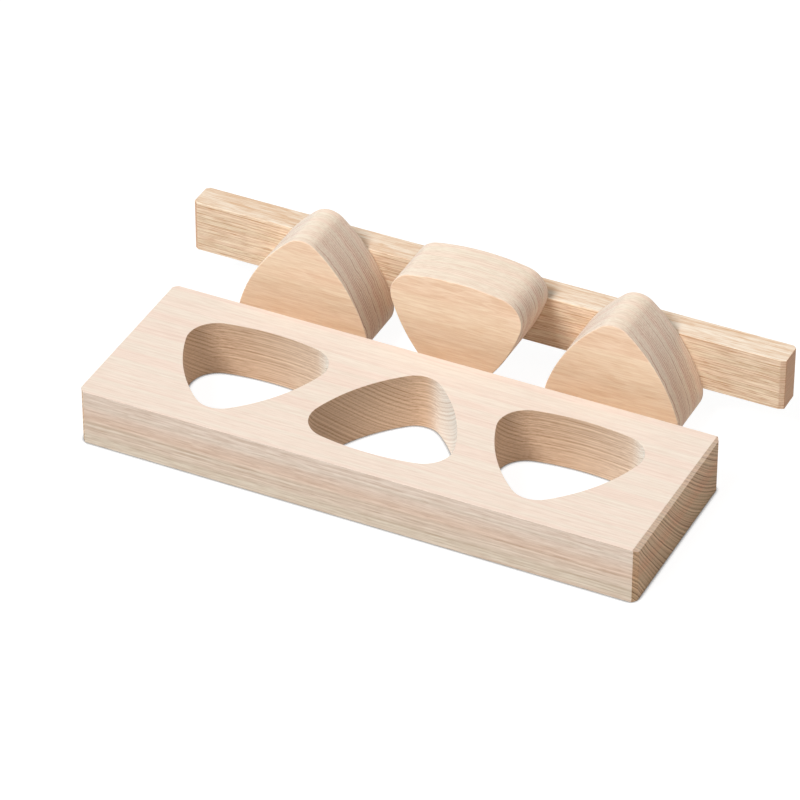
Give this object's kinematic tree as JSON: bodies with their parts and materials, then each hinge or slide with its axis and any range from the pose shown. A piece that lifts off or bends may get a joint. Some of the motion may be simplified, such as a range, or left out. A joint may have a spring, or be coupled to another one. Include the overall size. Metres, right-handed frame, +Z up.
{
  "type": "rice mold press",
  "caption": "Wooden mold board with rounded triangular openings and a matching bar of plungers that presses rice through them.",
  "frame": {"origin": "centre of the footprint of the whole object, on the surface it lies on", "axes": "+X along the board and the bar, +Y from the board towards the bar, +Z up"},
  "size_m": [0.314, 0.16, 0.0625],
  "materials": {
    "board_wood": "planed and sanded, unfinished",
    "bar_wood": "planed, unfinished",
    "plunger_wood": "sanded, unfinished",
    "screw_steel": "plain stainless"
  },
  "bodies": {
    "board": {"mold_board": "board_wood"},
    "pusher": {"pusher_bar": "bar_wood", "plunger_left": "plunger_wood", "plunger_middle": "plunger_wood", "plunger_right": "plunger_wood", "bar_screws": "screw_steel"}
  },
  "joints": [
    {"name": "pusher_lift", "type": "slide", "parent": "board", "child": "pusher", "axis": [0, 0, 1], "range_m": [0, 0.1]}
  ]
}
